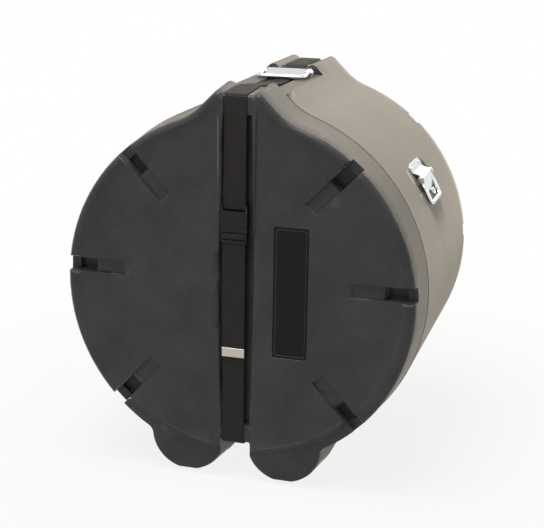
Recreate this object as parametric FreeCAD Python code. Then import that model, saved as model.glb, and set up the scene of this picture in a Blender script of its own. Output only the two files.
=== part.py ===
import FreeCAD, Part

import math
import os

from FreeCAD import Matrix, Placement, Rotation, Vector

os.makedirs("parts", exist_ok=True)

# Bass drum case: a moulded tub and a short telescoping lid, held shut by one web strap.
# Frame: origin on the floor under the case's middle, +X right as seen from the lid,
# +Y from the lid to the back, +Z up. Millimetres.

# Driving dimensions of the case
DEPTH = 482.0               # front of the lid to the back of the tub
LID_DEPTH = 82.0            # how far the lid's skirt reaches back
RADIUS = 303.0              # the round outline at the lid's front
LID_DRAFT = 6.5             # how much the lid's outline grows from front to seam
TUB_GROWTH = 7.0            # how much larger than the lid's front the tub's outline is
WALL = 5.0                  # moulded wall
AXIS_HEIGHT = 335.0         # the round outline's centre above the floor
RIM_ROUND = 9.0             # rounding of the front and back rims
RIM_STEPS = 3

# The ridged hump at the top, which guards the strap
FLANK_REACH = 264.7         # the 45 degree flank's distance from the centre
SHOULDER = 115.0            # radius of the concave shoulder beside the hump
CREST_ROUND = 8.0
CHANNEL_HALF = 26.0         # half the strap channel's width
CHANNEL_TOP = 331.0         # the channel's floor above the centre, at the lid's front
CHANNEL_BOTTOM = 268.0      # the channel's floor below the centre, at the lid's front

# The two moulded feet
FOOT_X = 86.0
FOOT_DROP = 264.0
FOOT_RADIUS = 66.0
FOOT_FLAT = 2.0             # how much of the round is cut off where it stands
FOOT_BLEND = 16.0
FOOT_INNER_ROUND = 8.0

# The end faces: a rim bead, a sunk panel, the strap's groove and six notches
PANEL_SINK = 3.0
PANEL_SLOPE = 5.0           # how far the bead's inner side slopes out to its crest
PANEL_RADIUS = 280.0
PANEL_RISE = 8.0
BEAD_WIDTH = 16.0
GROOVE_SINK = 7.0
FOLD_ROUND = 5.0            # where the strap folds over the rim
WELL_SINK = 18.0            # the deeper well behind the buckle
WELL_HALF = 31.0
WELL_TOP = 300.0
WELL_BOTTOM = -235.0
NOTCH_ANGLES = (44.0, 90.0, 138.0)
NOTCH_RISE = 25.0           # the notches point at a spot this far above the centre
NOTCH_HALF = 12.5
NOTCH_LENGTH = 108.0
NOTCH_GROOVE = 8.0          # depth of its shallow inner part
NOTCH_DEPTH = 30.0          # depth of its pocket
NOTCH_LIP = 20.0            # depth where it runs out through the rim
POCKET_START = -48.5        # along the notch, from the round outline
POCKET_END = -15.4
NOTCH_CORNER = 8.0          # rounding where the rim bead dips into a notch

# The plain recess on the lid's right half, with a thin raised line inside its edge
RECESS_LEFT = 64.0
RECESS_RIGHT = 124.0
RECESS_TOP = 121.0
RECESS_BOTTOM = -105.0
RECESS_SINK = 1.5
RECESS_CORNER = 3.0
RECESS_LINE_IN = 4.0        # from the recess's edge to the raised line
RECESS_LINE_WIDE = 1.2

# The tub's mouth, which the lid slides over
MOUTH_START = 43.0          # behind the lid's front, clear of its notches
MOUTH_GAP = 1.2
SEAM_GAP = 0.5

# The flat seats for the handles
TOP_SEAT = 326.0            # above the centre
TOP_SEAT_BACK = 88.0
TOP_SEAT_RAMP = 36.0        # length of the channel's ramp behind the top handle
CHANNEL_DIP = 321.0         # the channel's floor under the top handle
SIDE_SEAT = 308.5           # from the centre
SIDE_ANGLE = 57.2           # the side handles' hinge, clockwise from the top
TOP_HINGE_Y = 52.0
SIDE_HINGE_Y = 8.0

# The web strap and its buckle
STRAP_WIDTH = 38.0
STRAP_THICK = 2.0
STRAP_X = -4.0
STRAP_LIFT = 1.3            # the strap's middle above what it lies on
LADDER_TURN = 4.7           # from the web behind the ladder to the web over its middle bar
TAIL_STEP = 2.3             # from the web on the face to the tail lying on it
BUCKLE_TOP = 150.0
BUCKLE_SPLIT = 114.0
BUCKLE_BOTTOM = 88.0
BUCKLE_HALF = 23.0
BUCKLE_THICK = 12.0
TIP_TOP = -96.0
TIP_BOTTOM = -112.0

# The bail handles
HINGE_HEIGHT = 8.0
PIN_RADIUS = 3.0
PIN_FIT = 0.06
HOOD_HALF = 36.0
HOOD_ROUND = 6.0            # outer radius of the sheet where it rolls over the pin
HOOD_BACK = -17.0           # where the hood's two slopes meet the flat parts
HOOD_FRONT = 25.0
SHEET = 2.5
TAB_HALF = 42.0             # the flat tab behind the hinge
TAB_BACK = -33.0
TAB_FRONT = -14.0
FEET_END = 37.5
ARCH_RADIUS = 20.5
BAIL_HALF = 41.5
BAIL_RADIUS = 4.0
BAIL_REACH = 44.0
BAIL_CORNER = 10.0
RIVET_RADIUS = 2.5
RIVETS = ((33.0, -23.5), (30.0, 31.2))

FRONT = -DEPTH / 2.0
BACK = DEPTH / 2.0
SEAM = FRONT + LID_DEPTH
ROOT2 = math.sqrt(2.0)


# Small helpers for flat outlines
def polar(centre, radius, angle):
    """A point on a circle; angles run clockwise from straight up, in degrees."""
    a = math.radians(angle)
    return (centre[0] + radius * math.sin(a), centre[1] + radius * math.cos(a))


def bearing(centre, point):
    return math.degrees(math.atan2(point[0] - centre[0], point[1] - centre[1])) % 360.0


def line(p, q):
    return (p, q)


def arc(centre, radius, start, end):
    return tuple(polar(centre, radius, a) for a in (start, (start + end) / 2.0, end))


def mirrored(segments):
    flipped = [tuple((-p[0], p[1]) for p in reversed(s)) for s in segments]
    return list(reversed(flipped))


def wire(segments, place):
    """Edges through 2D segments: two points make a line, three an arc."""
    edges = []
    for s in segments:
        points = [place(p) for p in s]
        if len(points) == 2:
            edges.append(Part.LineSegment(*points).toShape())
        else:
            edges.append(Part.Arc(*points).toShape())
    return Part.Wire(edges)


def upright(y):
    """Places a 2D point (x, height above the case's axis) in the plane at this y."""
    return lambda p: Vector(p[0], y, p[1] + AXIS_HEIGHT)


def prism(segments, y0, y1):
    face = Part.Face(wire(segments, upright(y0)))
    return face.extrude(Vector(0, y1 - y0, 0))


def polygon(points):
    return [line(points[i], points[(i + 1) % len(points)]) for i in range(len(points))]


def joined(shapes):
    whole = shapes[0]
    for shape in shapes[1:]:
        whole = whole.fuse(shape)
    return whole


def box(x0, x1, y0, y1, z0, z1):
    return Part.makeBox(x1 - x0, y1 - y0, z1 - z0, Vector(x0, y0, z0))


def shaft(radius, start, axis, length):
    return Part.makeCylinder(radius, length, Vector(*start), Vector(*axis))


# The case's outline, grown by any amount
def shoulder_bearing(grow):
    radius = RADIUS + grow
    concave = SHOULDER - grow
    ratio = (FLANK_REACH + grow + concave) / (radius + concave)
    return 45.0 - math.degrees(math.acos(ratio))


def hump_side(grow):
    """The flank's lower end, the concave shoulder and where it meets the round."""
    theta = shoulder_bearing(grow)
    centre = polar((0, 0), RADIUS + SHOULDER, theta)
    concave = SHOULDER - grow
    return polar(centre, concave, 225.0), arc(centre, concave, 225.0, 180.0 + theta), theta


def foot_blend(grow):
    """Centre of the concave blend between the round and a foot, and its bearings."""
    foot = (FOOT_X, -FOOT_DROP)
    far = math.hypot(*foot)
    reach = RADIUS + FOOT_BLEND
    close = FOOT_RADIUS + FOOT_BLEND
    turn = math.degrees(math.acos((reach**2 + far**2 - close**2) / (2 * reach * far)))
    phi = bearing((0, 0), foot) - turn
    centre = polar((0, 0), reach, phi)
    on_foot = bearing(foot, centre)
    return phi, on_foot, arc(centre, FOOT_BLEND - grow, phi + 180.0, on_foot + 180.0)


def outer_outline(grow):
    """Outline with ridges beside the top channel and flats under the feet."""
    top = CHANNEL_TOP + 0.7 * grow
    bottom = -CHANNEL_BOTTOM - 0.5 * grow
    flank, shoulder, theta = hump_side(grow)
    half = CHANNEL_HALF + 0.5 * max(0.0, -grow)
    crest_round = CREST_ROUND + 0.4 * grow
    crest_x = half + crest_round
    crest = (crest_x, (FLANK_REACH + grow - crest_round) * ROOT2 - crest_x)
    phi, on_foot, blend = foot_blend(grow)
    foot = (FOOT_X, -FOOT_DROP)
    foot_radius = FOOT_RADIUS + grow
    flat = 180.0 - math.degrees(math.acos((foot_radius - FOOT_FLAT) / foot_radius))
    inner_x = half + FOOT_INNER_ROUND
    span = foot_radius - FOOT_INNER_ROUND
    inner = (inner_x, foot[1] - math.sqrt(span**2 - (FOOT_X - inner_x) ** 2))
    inner_turn = bearing(foot, inner)
    right = [
        line((0, top), (half, top)),
        line((half, top), (half, crest[1])),
        arc(crest, crest_round, -90.0, 45.0),
        line(polar(crest, crest_round, 45.0), flank),
        shoulder,
        arc((0, 0), RADIUS + grow, theta, phi),
        blend,
        arc(foot, foot_radius, on_foot, flat),
        line(polar(foot, foot_radius, flat), polar(foot, foot_radius, 360.0 - flat)),
        arc(foot, foot_radius, 360.0 - flat, inner_turn),
        arc(inner, FOOT_INNER_ROUND, inner_turn, 270.0),
        line((half, inner[1]), (half, bottom)),
        line((half, bottom), (0, bottom)),
    ]
    return right + mirrored(right)


def inner_outline(grow, flat_top, clear=0.0):
    """Outline of the hollow: no ridges, a flat under the top channel."""
    bottom = -CHANNEL_BOTTOM + WALL + 1.0 + clear
    side = CHANNEL_HALF + WALL + clear
    flank, shoulder, theta = hump_side(grow)
    flat_x = (FLANK_REACH + grow) * ROOT2 - flat_top
    phi, on_foot, blend = foot_blend(grow)
    foot = (FOOT_X, -FOOT_DROP)
    foot_radius = FOOT_RADIUS + grow
    turn = 180.0 + math.degrees(math.asin((FOOT_X - side) / foot_radius))
    corner = polar(foot, foot_radius, turn)
    right = [
        line((0, flat_top), (flat_x, flat_top)),
        line((flat_x, flat_top), flank),
        shoulder,
        arc((0, 0), RADIUS + grow, theta, phi),
        blend,
        arc(foot, foot_radius, on_foot, turn),
        line(corner, (side, bottom)),
        line((side, bottom), (0, bottom)),
    ]
    return right + mirrored(right)


def loft(*sections):
    """A ruled body through (outline, y) sections with matching segments."""
    return Part.makeLoft([wire(outline, upright(y)) for outline, y in sections], True, True)


def lid_growth(y):
    return LID_DRAFT * (y - FRONT) / LID_DEPTH


def rim_sections(grow, end, inward):
    """Sections that round the outline's edge at one end face, from the face inwards."""
    sections = []
    for step in range(RIM_STEPS + 1):
        t = math.radians(90.0 * step / RIM_STEPS)
        less = RIM_ROUND * (1.0 - math.sin(t))
        y = end + inward * RIM_ROUND * (1.0 - math.cos(t))
        sections.append((outer_outline(grow - less), y))
    return sections


# Features of an end face. Each is built for the front and mirrored for the back.
def panel_outline(grow):
    """The sunk panel: a round field, the hump's field, and a neck into the channel."""
    centre = (0.0, PANEL_RISE)
    reach = FLANK_REACH - BEAD_WIDTH + grow
    concave = SHOULDER + BEAD_WIDTH - grow
    ratio = (reach + concave - centre[1] / ROOT2) / (PANEL_RADIUS + grow + concave)
    theta = 45.0 - math.degrees(math.acos(ratio))
    bend = polar(centre, PANEL_RADIUS + grow + concave, theta)
    corner_x = CHANNEL_HALF + 17.0
    corner_round = 9.0 + 0.5 * grow
    corner = (corner_x, (reach - corner_round) * ROOT2 - corner_x)
    side_x = corner_x - corner_round
    right = [
        line((0, 100.0), (WELL_HALF, 100.0)),
        line((WELL_HALF, 100.0), (side_x, corner[1])),
        arc(corner, corner_round, -90.0, 45.0),
        line(polar(corner, corner_round, 45.0), polar(bend, concave, 225.0)),
        arc(bend, concave, 225.0, 180.0 + theta),
        arc(centre, PANEL_RADIUS + grow, theta, 180.0),
    ]
    return right + mirrored(right)


def well_outline(extra):
    """The buckle's well: straight ends, sides that bow out in the middle."""
    top = WELL_TOP + extra
    bottom = WELL_BOTTOM - extra
    half = CHANNEL_HALF + extra
    bow = (WELL_HALF + extra, (top + bottom) / 2.0)
    right = [
        line((0, top), (half, top)),
        ((half, top), bow, (half, bottom)),
        line((half, bottom), (0, bottom)),
    ]
    return right + mirrored(right)


def notch_frame(angle):
    """Places the notch's own frame: X out along it, Y across it, Z into the case."""
    a = math.radians(angle)
    out = Vector(math.sin(a), 0, math.cos(a))
    inward = Vector(0, 1, 0)
    across = inward.cross(out)
    rise = NOTCH_RISE * math.cos(a)
    reach = -rise + math.sqrt(rise**2 - NOTCH_RISE**2 + RADIUS**2)
    origin = Vector(0, FRONT, AXIS_HEIGHT + NOTCH_RISE) + out * reach
    m = Matrix(
        out.x, across.x, inward.x, origin.x,
        out.y, across.y, inward.y, origin.y,
        out.z, across.z, inward.z, origin.z,
    )
    return Placement(m)


def notch_cutter(angle):
    """A groove with a sloped inner end, a rounded edge, a deep pocket and an open lip."""
    end = 40.0
    edge_round = 8.5
    slope = 6.0
    edge = POCKET_START - edge_round
    low = NOTCH_GROOVE + edge_round
    knee = polar((edge, low), edge_round, 135.0)
    profile = [
        line((-NOTCH_LENGTH, -5.0), (-NOTCH_LENGTH, PANEL_SINK)),
        line((-NOTCH_LENGTH, PANEL_SINK), (slope - NOTCH_LENGTH, NOTCH_GROOVE)),
        line((slope - NOTCH_LENGTH, NOTCH_GROOVE), (edge, NOTCH_GROOVE)),
        ((edge, NOTCH_GROOVE), knee, (POCKET_START, low)),
        line((POCKET_START, low), (POCKET_START, NOTCH_DEPTH)),
        line((POCKET_START, NOTCH_DEPTH), (POCKET_END, NOTCH_DEPTH)),
        line((POCKET_END, NOTCH_DEPTH), (POCKET_END, NOTCH_LIP)),
        line((POCKET_END, NOTCH_LIP), (end, NOTCH_LIP)),
        line((end, NOTCH_LIP), (end, -5.0)),
        line((end, -5.0), (-NOTCH_LENGTH, -5.0)),
    ]
    return notch_body(profile, NOTCH_HALF, angle)


def notch_body(profile, half, angle):
    """Extrudes a profile of (along, depth) across the notch and puts it in place."""
    face = Part.Face(wire(profile, lambda p: Vector(p[0], -half, p[1])))
    body = face.extrude(Vector(0, 2 * half, 0))
    body.Placement = notch_frame(angle)
    return body


def bead_dip(angle):
    """Rounds the rim bead down into both sides of a notch."""
    radius = NOTCH_CORNER
    start = -22.0
    length = 62.0
    axis_y = NOTCH_HALF + radius
    corner = Part.makeBox(length, radius, radius + 1.0, Vector(start, NOTCH_HALF, -1.0))
    corner = corner.cut(shaft(radius, (start, axis_y, radius), (1, 0, 0), length))
    both = Part.makeCompound([corner, corner.mirror(Vector(0, 0, 0), Vector(0, 1, 0))])
    both.Placement = notch_frame(angle)
    return both


def strap_fold(growth):
    """Rounds the channel's floor over into the end face's groove, above and below."""
    y = FRONT + GROOVE_SINK
    cutters = []
    for height, sign in ((CHANNEL_TOP + 0.7 * growth, 1), (-CHANNEL_BOTTOM - 0.5 * growth, -1)):
        z = AXIS_HEIGHT + height
        inner = z - sign * FOLD_ROUND
        low, high = sorted((z + sign, inner))
        block = box(-CHANNEL_HALF, CHANNEL_HALF, y - 1, y + FOLD_ROUND, low, high)
        bar = shaft(FOLD_ROUND, (-CHANNEL_HALF, y + FOLD_ROUND, inner), (1, 0, 0), 2 * CHANNEL_HALF)
        cutters.append(block.cut(bar))
    return cutters


def notch_boss(angle):
    """The notch's moulded back: what the hollow goes round."""
    end = 40.0
    inner = -NOTCH_LENGTH - WALL
    groove = NOTCH_GROOVE + WALL
    deep = NOTCH_DEPTH + WALL
    pocket = POCKET_START - WALL
    points = ((inner, -5.0), (inner, NOTCH_GROOVE), (inner + 7.0, groove), (pocket - 5.0, groove),
              (pocket, groove + 5.0), (pocket, deep), (end, deep), (end, -5.0))
    return notch_body(polygon(points), NOTCH_HALF + WALL, angle)


def both_sides(maker):
    right = [maker(a) for a in NOTCH_ANGLES]
    return right + [s.mirror(Vector(0, 0, 0), Vector(1, 0, 0)) for s in right]


def foot_face():
    """Sinks the feet's front faces a little below the rim bead."""
    slab = box(-200, 200, FRONT - 1, FRONT + PANEL_SINK, AXIS_HEIGHT - 400, AXIS_HEIGHT - 200)
    centre = Vector(0, FRONT - 2, AXIS_HEIGHT + PANEL_RISE)
    return slab.cut(Part.makeCylinder(PANEL_RADIUS + 11.0, 10, centre, Vector(0, 1, 0)))


def end_face_cuts(growth):
    groove = box(-CHANNEL_HALF, CHANNEL_HALF, FRONT - 1, FRONT + GROOVE_SINK,
                 AXIS_HEIGHT - 400, AXIS_HEIGHT + 400)
    slope = PANEL_SLOPE / PANEL_SINK
    panel = loft((panel_outline(PANEL_SLOPE + slope), FRONT - 1),
                 (panel_outline(0.0), FRONT + PANEL_SINK))
    well = prism(well_outline(0), FRONT - 1, FRONT + WELL_SINK)
    dips = both_sides(bead_dip)
    cutters = [panel, groove, well, foot_face()] + strap_fold(growth)
    return cutters + both_sides(notch_cutter) + dips


def recess_slab(inset, y0, y1):
    slab = box(RECESS_LEFT + inset, RECESS_RIGHT - inset, y0, y1,
               AXIS_HEIGHT + RECESS_BOTTOM + inset, AXIS_HEIGHT + RECESS_TOP - inset)
    return softened(slab, RECESS_CORNER, along_y)


def recess():
    """A shallow rounded rectangle in the lid's panel, less a thin line left standing in it."""
    y = FRONT + PANEL_SINK
    cut = recess_slab(0.0, y - 1, y + RECESS_SINK)
    ring = recess_slab(RECESS_LINE_IN, y + RECESS_SINK / 2.0, y + RECESS_SINK)
    inner = recess_slab(RECESS_LINE_IN + RECESS_LINE_WIDE, y, y + RECESS_SINK + 1)
    return cut.cut(ring.cut(inner))


def end_face_bosses():
    well = prism(well_outline(WALL), FRONT - 1, FRONT + WELL_SINK + WALL)
    half = CHANNEL_HALF + WALL
    groove = box(-half, half, FRONT - 1, FRONT + GROOVE_SINK + WALL,
                 AXIS_HEIGHT - 400, AXIS_HEIGHT + 400)
    return [well, groove] + both_sides(notch_boss)


def to_back(shapes):
    return [s.mirror(Vector(0, 0, 0), Vector(0, 1, 0)) for s in shapes]


def cut_all(body, cutters):
    for cutter in cutters:
        body = body.cut(cutter)
    return body


# The two shells
def lid_shell():
    edge = SEAM - SEAM_GAP
    outer = loft(*rim_sections(0.0, FRONT, 1.0), (outer_outline(lid_growth(edge)), edge))
    floor = FRONT + PANEL_SINK + WALL
    flat_top = CHANNEL_TOP - WALL - 1.0
    start = lid_growth(floor) - WALL
    past = SEAM + 2.0
    hollow = loft((inner_outline(start, flat_top), floor),
                  (inner_outline(lid_growth(past) - WALL, flat_top), past))
    hollow = cut_all(hollow, end_face_bosses())
    return cut_all(outer, end_face_cuts(0.0) + [recess()]).cut(hollow)


def mouth(wall_in, y0, y1):
    flat_top = CHANNEL_TOP - WALL - 1.0 - MOUTH_GAP - wall_in
    less = WALL + MOUTH_GAP + wall_in
    first = inner_outline(lid_growth(y0) - less, flat_top, MOUTH_GAP + wall_in)
    second = inner_outline(lid_growth(y1) - less, flat_top, MOUTH_GAP + wall_in)
    return loft((first, y0), (second, y1))


def top_seat():
    """The flat for the top handle, and the channel dipping below it."""
    half = 62.0
    ramp_start = TOP_SEAT_BACK + 4.0
    flat = box(-half, half, SEAM - 5, TOP_SEAT_BACK, AXIS_HEIGHT + TOP_SEAT, AXIS_HEIGHT + 380)
    ramp_end = ramp_start + TOP_SEAT_RAMP
    floor = CHANNEL_TOP + 0.7 * TUB_GROWTH
    profile = ((SEAM - 5, CHANNEL_DIP), (ramp_start, CHANNEL_DIP), (ramp_end, floor),
               (ramp_end, floor + 30), (SEAM - 5, floor + 30))
    place = lambda p: Vector(-CHANNEL_HALF, p[0], p[1] + AXIS_HEIGHT)
    dip = Part.Face(wire(polygon(profile), place)).extrude(Vector(2 * CHANNEL_HALF, 0, 0))
    return [flat, dip]


def side_frame(side):
    """The frame of a side handle; side is 1 on the right and -1 on the left."""
    a = math.radians(SIDE_ANGLE)
    down = Vector(side * math.cos(a), 0, -math.sin(a))
    out = Vector(side * math.sin(a), 0, math.cos(a))
    origin = Vector(0, SIDE_HINGE_Y, AXIS_HEIGHT) + out * SIDE_SEAT
    return frame_placement(down, out, origin)


def top_frame():
    origin = Vector(0, TOP_HINGE_Y, AXIS_HEIGHT + TOP_SEAT)
    return frame_placement(Vector(0, -1, 0), Vector(0, 0, 1), origin)


def frame_placement(down, out, origin):
    along = down.cross(out)
    return Placement(Matrix(
        along.x, down.x, out.x, origin.x,
        along.y, down.y, out.y, origin.y,
        along.z, down.z, out.z, origin.z,
    ))


def side_seat(side):
    seat = box(-60, 60, -45, 45, 0, 15)
    seat.Placement = side_frame(side)
    return seat


def handle_frames():
    return {"top": top_frame(), "right": side_frame(1), "left": side_frame(-1)}


def rivet_places():
    return [(sx * u, v) for u, v in RIVETS for sx in (-1, 1)]


def rivet_holes(frame, radius):
    holes = [shaft(radius, (u, v, -12), (0, 0, 1), 24) for u, v in rivet_places()]
    for hole in holes:
        hole.Placement = frame
    return holes


def base_shell():
    body = loft((outer_outline(TUB_GROWTH), SEAM), *reversed(rim_sections(TUB_GROWTH, BACK, -1.0)))
    body = body.fuse(mouth(0.0, FRONT + MOUTH_START, SEAM + 1.0))
    floor = BACK - PANEL_SINK - WALL
    flat_top = CHANNEL_DIP - WALL - 1.0
    main = prism(inner_outline(TUB_GROWTH - WALL, flat_top), SEAM + 8.0, floor)
    main = cut_all(main, to_back(end_face_bosses()))
    entry = mouth(WALL, FRONT + MOUTH_START - 1.0, SEAM + 8.5)
    seats = top_seat() + [side_seat(1), side_seat(-1)]
    body = cut_all(body, to_back(end_face_cuts(TUB_GROWTH)) + seats)
    for frame in handle_frames().values():
        body = cut_all(body, rivet_holes(frame, RIVET_RADIUS + 0.1))
    return body.cut(main).cut(entry)


# Foam inside
def half_moons():
    """Two foam pads on the inside of an end face, one each side of the buckle's well."""
    start = FRONT + PANEL_SINK + WALL
    thick = 14.0
    disc = shaft(245.0, (0, start, AXIS_HEIGHT), (0, 1, 0), thick)
    gap = WELL_HALF + WALL + 3.0
    disc = disc.cut(box(-gap, gap, start - 1, start + thick + 1, 0, 2 * AXIS_HEIGHT))
    return cut_all(disc, both_sides(notch_boss))


# Straps
def offset_corners(points, distance):
    """The corners of a polyline moved sideways by a distance."""
    out = []
    for i, p in enumerate(points):
        before = points[max(i - 1, 0)]
        after = points[min(i + 1, len(points) - 1)]
        d1 = unit(before, p) if i > 0 else unit(p, after)
        d2 = unit(p, after) if i < len(points) - 1 else d1
        n1 = (-d1[1], d1[0])
        n2 = (-d2[1], d2[0])
        scale = distance / (1.0 + n1[0] * n2[0] + n1[1] * n2[1])
        out.append((p[0] + (n1[0] + n2[0]) * scale, p[1] + (n1[1] + n2[1]) * scale))
    return out


def unit(p, q):
    length = math.hypot(q[0] - p[0], q[1] - p[1])
    return ((q[0] - p[0]) / length, (q[1] - p[1]) / length)


def bent(points, radii):
    """Segments along a polyline with each inner corner turned into an arc."""
    segments = []
    here = points[0]
    for i in range(1, len(points) - 1):
        d1 = unit(points[i - 1], points[i])
        d2 = unit(points[i], points[i + 1])
        turn = math.acos(max(-1.0, min(1.0, d1[0] * d2[0] + d1[1] * d2[1])))
        back = radii[i - 1] * math.tan(turn / 2.0)
        start = (points[i][0] - d1[0] * back, points[i][1] - d1[1] * back)
        end = (points[i][0] + d2[0] * back, points[i][1] + d2[1] * back)
        bisector = unit((0, 0), (d2[0] - d1[0], d2[1] - d1[1]))
        to_centre = radii[i - 1] / math.cos(turn / 2.0)
        centre = (points[i][0] + bisector[0] * to_centre, points[i][1] + bisector[1] * to_centre)
        middle = (centre[0] - bisector[0] * radii[i - 1], centre[1] - bisector[1] * radii[i - 1])
        segments.append(line(here, start))
        segments.append((start, middle, end))
        here = end
    segments.append(line(here, points[-1]))
    return segments


def band(points, corner_radii, width=STRAP_WIDTH, thick=STRAP_THICK):
    """A flat web along a path of (y, height) points, with a radius at each corner."""
    sides = []
    for half in (thick / 2.0, -thick / 2.0):
        corners = offset_corners(points, half)
        radii = [r + half * turn_sign(points, i + 1) for i, r in enumerate(corner_radii)]
        sides.append(bent(corners, radii))
    left, right = sides
    outline = left + [line(left[-1][-1], right[-1][-1])]
    outline += [tuple(reversed(s)) for s in reversed(right)]
    outline.append(line(right[0][0], left[0][0]))
    place = lambda p: Vector(STRAP_X - width / 2.0, p[0], p[1] + AXIS_HEIGHT)
    return Part.Face(wire(outline, place)).extrude(Vector(width, 0, 0))


def turn_sign(points, i):
    d1 = unit(points[i - 1], points[i])
    d2 = unit(points[i], points[i + 1])
    return -1.0 if d1[0] * d2[1] - d1[1] * d2[0] > 0 else 1.0


FACE_Y = FRONT + GROOVE_SINK - STRAP_LIFT
TOP_FRONT = CHANNEL_TOP + 0.3 + STRAP_LIFT
TOP_SEAM = CHANNEL_TOP + 0.7 * LID_DRAFT + STRAP_LIFT
LOW_FRONT = -CHANNEL_BOTTOM - 0.2 - STRAP_LIFT
LOW_SEAM = -CHANNEL_BOTTOM - 0.5 * LID_DRAFT - STRAP_LIFT
FOLD_PATH = FOLD_ROUND + STRAP_LIFT


def strap_front_upper():
    """From the seam on top, over the rim, round the buckle's bar and up behind itself."""
    slot = BUCKLE_TOP - 7.3
    behind = FACE_Y + 7.0
    points = ((SEAM - 1.5, TOP_SEAM), (FACE_Y, TOP_FRONT), (FACE_Y, slot), (behind, slot),
              (behind, slot + 45.0))
    return band(points, (FOLD_PATH, 2.6, 2.6))


def strap_front_lower():
    """Up behind the ladder, over its middle bar, behind its low bar and down as the tail."""
    turn = BUCKLE_SPLIT - 11.2
    over = FACE_Y - LADDER_TURN
    tail = FACE_Y - TAIL_STEP
    points = ((SEAM - 1.5, LOW_SEAM), (FACE_Y, LOW_FRONT), (FACE_Y, turn), (over, turn),
              (over, BUCKLE_BOTTOM + 7.2), (tail, BUCKLE_BOTTOM + 4.6), (tail, TIP_TOP - 6.0))
    return band(points, (FOLD_PATH, 2.2, 2.2, 1.2, 1.2))


def strap_tip():
    """A folded metal clip over the end of the tail."""
    y = FACE_Y - TAIL_STEP
    half = STRAP_WIDTH / 2.0
    z0 = AXIS_HEIGHT + TIP_BOTTOM
    z1 = AXIS_HEIGHT + TIP_TOP
    clip = box(STRAP_X - half - 0.8, STRAP_X + half + 0.8, y - 1.9, y + 1.2, z0, z1)
    clip = clip.makeFillet(0.7, [e for e in clip.Edges if abs(e.CenterOfMass.y - y + 1.9) < 0.01])
    sleeve = box(STRAP_X - half, STRAP_X + half, y - 1.0, y + 1.0, z0 + 10.0, z1 + 1)
    return clip.cut(sleeve)


def strap_base():
    """The web round the tub: over the top, under the handle, down the back and under."""
    top = CHANNEL_TOP + 0.7 * TUB_GROWTH + STRAP_LIFT
    low = -CHANNEL_BOTTOM - 0.5 * TUB_GROWTH - STRAP_LIFT
    dip = CHANNEL_DIP + STRAP_LIFT
    back = BACK - GROOVE_SINK + STRAP_LIFT
    ramp = TOP_SEAT_BACK + 3.7
    points = ((SEAM + 1.5, TOP_SEAM - 0.3), (TOP_HINGE_Y - 75.0, dip), (ramp, dip),
              (ramp + TOP_SEAT_RAMP, top), (back, top), (back, low), (SEAM + 1.5, low))
    return band(points, (40.0, 15.0, 15.0, FOLD_PATH, FOLD_PATH))


# The buckle, drawn about the strap's middle
def buckle_slab(x0, x1, z0, z1, front=0.0, back=BUCKLE_THICK):
    y = FRONT + 1.0
    return box(STRAP_X + x0, STRAP_X + x1, y + front, y + back,
               AXIS_HEIGHT + z0, AXIS_HEIGHT + z1)


def softened(body, radius, keep):
    edges = [e for e in body.Edges if keep(e)]
    return body.makeFillet(radius, edges)


def along_y(edge):
    a, b = edge.Vertexes[0].Point, edge.Vertexes[-1].Point
    return abs(a.x - b.x) < 1e-6 and abs(a.z - b.z) < 1e-6


def buckle_socket():
    """The half that takes the arms, with a bar between two posts that the web goes round."""
    top = BUCKLE_TOP - 9.0
    body = buckle_slab(-BUCKLE_HALF, BUCKLE_HALF, BUCKLE_SPLIT, top)
    body = softened(body, 3.0, along_y)
    posts = [buckle_slab(x - 1.4, x + 1.4, top - 4.0, BUCKLE_TOP + 1.0, 1.5, 10.4) for x in (-21.0, 21.0)]
    posts = [softened(p, 1.2, at_post_top) for p in posts]
    bar = buckle_slab(-21.0, 21.0, BUCKLE_TOP - 5.6, BUCKLE_TOP - 0.6, 6.1, 10.2)
    pocket = buckle_slab(-19.0, 19.0, BUCKLE_SPLIT - 1.0, BUCKLE_SPLIT + 22.0, 2.4, 9.6)
    windows = prism(window_outline(), FRONT + 3.4, FRONT + 10.6)
    return cut_all(joined([body, *posts, bar]), [pocket, windows])


def at_post_top(edge):
    a, b = edge.Vertexes[0].Point, edge.Vertexes[-1].Point
    return min(a.z, b.z) > AXIS_HEIGHT + BUCKLE_TOP and abs(a.x - b.x) < 1e-6


def window_outline():
    """Both thumb windows in the socket's sides: a slot whose lower edge slants outwards."""
    low = BUCKLE_SPLIT + 6.0
    high = BUCKLE_SPLIT + 18.5
    points = [(30.0, low), (30.0, high), (-30.0, high), (-30.0, low), (-18.0, low + 3.0), (18.0, low + 3.0)]
    return polygon([(STRAP_X + x, z) for x, z in points])


def buckle_plug():
    """The shoulder that meets the socket, a guide tongue, and a two-bar ladder."""
    shoulder = buckle_slab(-BUCKLE_HALF, BUCKLE_HALF, BUCKLE_SPLIT - 9.0, BUCKLE_SPLIT - 0.4)
    shoulder = softened(shoulder, 2.5, along_y)
    rails = [buckle_slab(x - 1.2, x + 1.2, BUCKLE_BOTTOM, BUCKLE_SPLIT - 8.0, -0.6, 9.5)
             for x in (-20.7, 20.7)]
    middle = buckle_slab(-20.0, 20.0, BUCKLE_BOTTOM + 8.6, BUCKLE_BOTTOM + 13.4, 1.3, 3.4)
    low = buckle_slab(-20.0, 20.0, BUCKLE_BOTTOM, BUCKLE_BOTTOM + 3.4, -0.6, 1.1)
    tongue = buckle_slab(-5.0, 5.0, BUCKLE_SPLIT - 1.0, BUCKLE_SPLIT + 18.0, 3.0, 9.0)
    seats = [buckle_slab(x - 4.2, x + 4.2, BUCKLE_SPLIT - 6.0, BUCKLE_SPLIT + 1.0, 2.6, 9.4)
             for x in (-13.0, 13.0)]
    return cut_all(joined([shoulder, *rails, middle, low, tongue]), seats)


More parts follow.
